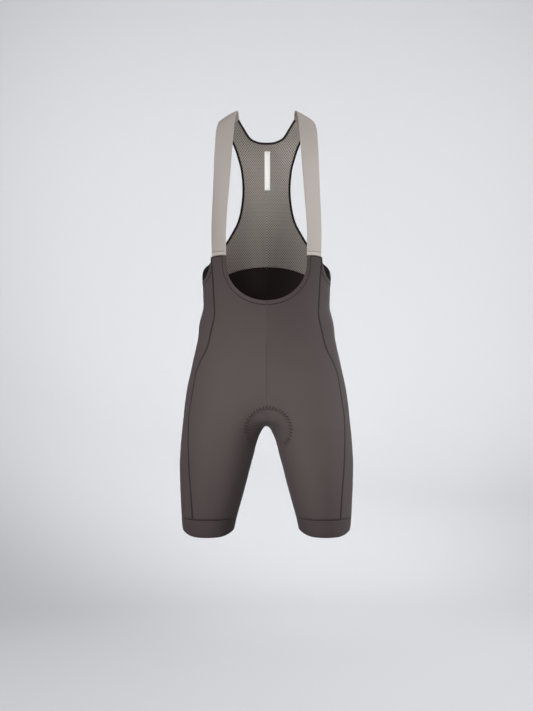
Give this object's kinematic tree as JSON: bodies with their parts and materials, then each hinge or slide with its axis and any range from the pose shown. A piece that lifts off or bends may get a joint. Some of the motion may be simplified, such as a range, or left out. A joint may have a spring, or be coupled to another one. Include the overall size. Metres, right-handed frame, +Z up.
{
  "type": "cycling bib shorts",
  "caption": "Cycling bib shorts in their worn form: knitted panels and leg bands, a mesh back yoke and flat elastic shoulder straps.",
  "frame": {"origin": "midway between the tops of the two straps, at the level where they lie on the shoulders", "axes": "+Z up, -Y towards the front of the garment, +X towards the wearer's left"},
  "size_m": [0.364, 0.2239, 0.8903],
  "materials": {
    "knit": "fine warp-knitted stretch cloth, matt with a soft sheen",
    "band": "double stretch knit, matt with a soft sheen",
    "elastic": "flat woven elastic, smooth and matt",
    "mesh": "open knitted mesh with fine diagonal holes",
    "binding": "narrow ribbed stretch binding",
    "label": "smooth woven tape, left bare"
  },
  "bodies": {
    "root": {"front_left": "knit", "front_right": "knit", "side_left": "knit", "side_right": "knit", "seat_left": "knit", "seat_right": "knit", "leg_band_left": "band", "leg_band_right": "band", "strap_left": "elastic", "strap_right": "elastic", "yoke": "mesh", "arm_binding_left": "binding", "arm_binding_right": "binding", "neck_binding": "binding", "label": "label"}
  },
  "joints": []
}
